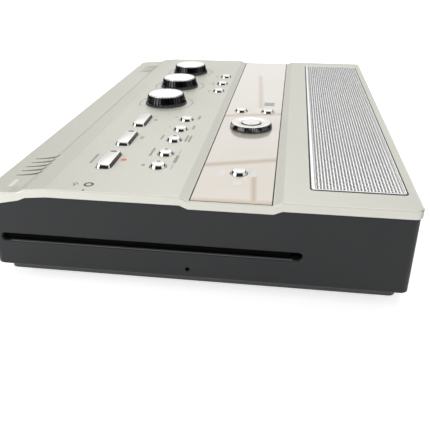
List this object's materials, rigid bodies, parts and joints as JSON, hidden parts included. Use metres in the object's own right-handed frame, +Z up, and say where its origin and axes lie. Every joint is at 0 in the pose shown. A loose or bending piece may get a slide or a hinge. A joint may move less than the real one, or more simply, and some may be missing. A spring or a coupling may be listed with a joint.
{
  "type": "portable disc recorder",
  "caption": "Low desktop disc recorder with a silver control plate, knobs, push buttons, a value dial, a wide window strip, a speaker grille and a disc slot in its side.",
  "frame": {"origin": "middle of the footprint, on the surface that the feet stand on", "axes": "+X to the user's right, where the disc slot is; +Y to the back, where the grille is; +Z up"},
  "size_m": [0.343, 0.229, 0.0657],
  "materials": {
    "silver_plate": "satin silver paint",
    "charcoal_case": "fine matt grain",
    "charcoal_pan": "matt paint on sheet steel",
    "foot_rubber": "matt",
    "screw_steel": "plated",
    "strip_window": "mirror gloss",
    "display": "gloss",
    "grille_metal": "satin",
    "baffle": "matt",
    "basket_steel": "matt",
    "cone_paper": "matt paper",
    "button_silver": "satin silver paint",
    "knob_black": "satin",
    "knob_cap": "fine satin",
    "shaft_steel": "turned",
    "pot_metal": "plated",
    "dial_silver": "gloss silver",
    "board": "satin",
    "switch_black": "satin",
    "lamp_clear": "gloss",
    "mic_black": "matt",
    "drive_steel": "plated sheet",
    "drive_plastic": "satin",
    "roller_rubber": "matt",
    "socket_black": "satin",
    "socket_brass": "plated"
  },
  "bodies": {
    "cabinet": {"top_plate": "silver_plate", "side_case": "charcoal_case", "bottom_pan": "charcoal_pan", "rubber_feet": "foot_rubber", "case_screws": "screw_steel", "display_strip": "strip_window", "display_module": "display", "speaker_grille": "grille_metal", "speaker_baffle": "baffle", "speaker_baskets": "basket_steel", "speaker_cones": "cone_paper", "potentiometers": "pot_metal", "dial_encoder": "switch_black", "control_board": "board", "push_switches": "switch_black", "power_lamp": "lamp_clear", "main_board": "board", "mic_capsules": "mic_black", "drive_tray": "drive_steel", "drive_rails": "drive_plastic", "drive_cover": "drive_steel", "spindle_motor": "drive_steel", "guide_rods": "shaft_steel", "phones_sockets": "socket_black", "mic_sockets": "socket_black", "socket_bay": "charcoal_case", "line_sockets": "socket_brass", "supply_inlet": "socket_black", "power_switch": "switch_black"},
    "repeat_button": {"repeat_button": "button_silver"},
    "rewind_button": {"rewind_button": "button_silver"},
    "tempo_button": {"tempo_button": "button_silver"},
    "key_button": {"key_button": "button_silver"},
    "tuner_button": {"tuner_button": "button_silver"},
    "reverb_button": {"reverb_button": "button_silver"},
    "effects_button": {"effects_button": "button_silver"},
    "metronome_button": {"metronome_button": "button_silver"},
    "menu_button": {"menu_button": "button_silver"},
    "display_button": {"display_button": "button_silver"},
    "source_button": {"source_button": "button_silver"},
    "record_button": {"record_button": "button_silver"},
    "play_button": {"play_button": "button_silver"},
    "stop_button": {"stop_button": "button_silver"},
    "enter_button": {"enter_button": "button_silver"},
    "value_dial": {"value_dial": "dial_silver"},
    "spindle_hub": {"spindle_hub": "drive_plastic"},
    "pickup_sled": {"pickup_sled": "drive_plastic"},
    "loading_roller": {"loading_roller": "roller_rubber"},
    "power_button": {"power_button": "switch_black"},
    "speaker_volume_knob": {"speaker_volume_skirt": "knob_black", "speaker_volume_cap": "knob_cap", "speaker_volume_shaft": "shaft_steel"},
    "line_level_knob": {"line_level_skirt": "knob_black", "line_level_cap": "knob_cap", "line_level_shaft": "shaft_steel"},
    "mic_level_knob": {"mic_level_skirt": "knob_black", "mic_level_cap": "knob_cap", "mic_level_shaft": "shaft_steel"}
  },
  "joints": [
    {"name": "repeat_button_press", "type": "slide", "parent": "cabinet", "child": "repeat_button", "axis": [0, 0, -1], "range_m": [0, 0.0008], "stiffness_N_per_m": 500},
    {"name": "rewind_button_press", "type": "slide", "parent": "cabinet", "child": "rewind_button", "axis": [0, 0, -1], "range_m": [0, 0.0008], "stiffness_N_per_m": 500},
    {"name": "tempo_button_press", "type": "slide", "parent": "cabinet", "child": "tempo_button", "axis": [0, 0, -1], "range_m": [0, 0.0008], "stiffness_N_per_m": 500},
    {"name": "key_button_press", "type": "slide", "parent": "cabinet", "child": "key_button", "axis": [0, 0, -1], "range_m": [0, 0.0008], "stiffness_N_per_m": 500},
    {"name": "tuner_button_press", "type": "slide", "parent": "cabinet", "child": "tuner_button", "axis": [0, 0, -1], "range_m": [0, 0.0008], "stiffness_N_per_m": 500},
    {"name": "reverb_button_press", "type": "slide", "parent": "cabinet", "child": "reverb_button", "axis": [0, 0, -1], "range_m": [0, 0.0008], "stiffness_N_per_m": 500},
    {"name": "effects_button_press", "type": "slide", "parent": "cabinet", "child": "effects_button", "axis": [0, 0, -1], "range_m": [0, 0.0008], "stiffness_N_per_m": 500},
    {"name": "metronome_button_press", "type": "slide", "parent": "cabinet", "child": "metronome_button", "axis": [0, 0, -1], "range_m": [0, 0.0008], "stiffness_N_per_m": 500},
    {"name": "menu_button_press", "type": "slide", "parent": "cabinet", "child": "menu_button", "axis": [0, 0, -1], "range_m": [0, 0.0008], "stiffness_N_per_m": 500},
    {"name": "display_button_press", "type": "slide", "parent": "cabinet", "child": "display_button", "axis": [0, 0, -1], "range_m": [0, 0.0008], "stiffness_N_per_m": 500},
    {"name": "source_button_press", "type": "slide", "parent": "cabinet", "child": "source_button", "axis": [0, 0, -1], "range_m": [0, 0.0008], "stiffness_N_per_m": 500},
    {"name": "record_button_press", "type": "slide", "parent": "cabinet", "child": "record_button", "axis": [0, 0, -1], "range_m": [0, 0.0008], "stiffness_N_per_m": 500},
    {"name": "play_button_press", "type": "slide", "parent": "cabinet", "child": "play_button", "axis": [0, 0, -1], "range_m": [0, 0.0008], "stiffness_N_per_m": 500},
    {"name": "stop_button_press", "type": "slide", "parent": "cabinet", "child": "stop_button", "axis": [0, 0, -1], "range_m": [0, 0.0008], "stiffness_N_per_m": 500},
    {"name": "enter_button_press", "type": "slide", "parent": "cabinet", "child": "enter_button", "axis": [0, 0, -1], "range_m": [0, 0.0008], "stiffness_N_per_m": 500},
    {"name": "power_button_press", "type": "slide", "parent": "cabinet", "child": "power_button", "axis": [0, -1, 0], "range_m": [0, 0.0006], "stiffness_N_per_m": 500},
    {"name": "speaker_volume_turn", "type": "hinge", "parent": "cabinet", "child": "speaker_volume_knob", "pos_m": [0, -0.0506, 0.06], "axis": [0, 0, 1], "range_deg": [-150, 150]},
    {"name": "line_level_turn", "type": "hinge", "parent": "cabinet", "child": "line_level_knob", "pos_m": [-0.055, -0.0506, 0.06], "axis": [0, 0, 1], "range_deg": [-150, 150]},
    {"name": "mic_level_turn", "type": "hinge", "parent": "cabinet", "child": "mic_level_knob", "pos_m": [-0.11, -0.0506, 0.06], "axis": [0, 0, 1], "range_deg": [-150, 150]},
    {"name": "value_dial_turn", "type": "hinge", "parent": "cabinet", "child": "value_dial", "pos_m": [0.047, 0.0204, 0.057], "axis": [0, 0, 1], "continuous": true},
    {"name": "spindle_spin", "type": "hinge", "parent": "cabinet", "child": "spindle_hub", "pos_m": [0.098, -0.0249, 0.022], "axis": [0, 0, 1], "continuous": true},
    {"name": "roller_spin", "type": "hinge", "parent": "cabinet", "child": "loading_roller", "pos_m": [0.156, -0.0249, 0.0189], "axis": [0, 1, 0], "continuous": true},
    {"name": "pickup_travel", "type": "slide", "parent": "cabinet", "child": "pickup_sled", "axis": [0, 1, 0], "range_m": [0, 0.032]}
  ]
}
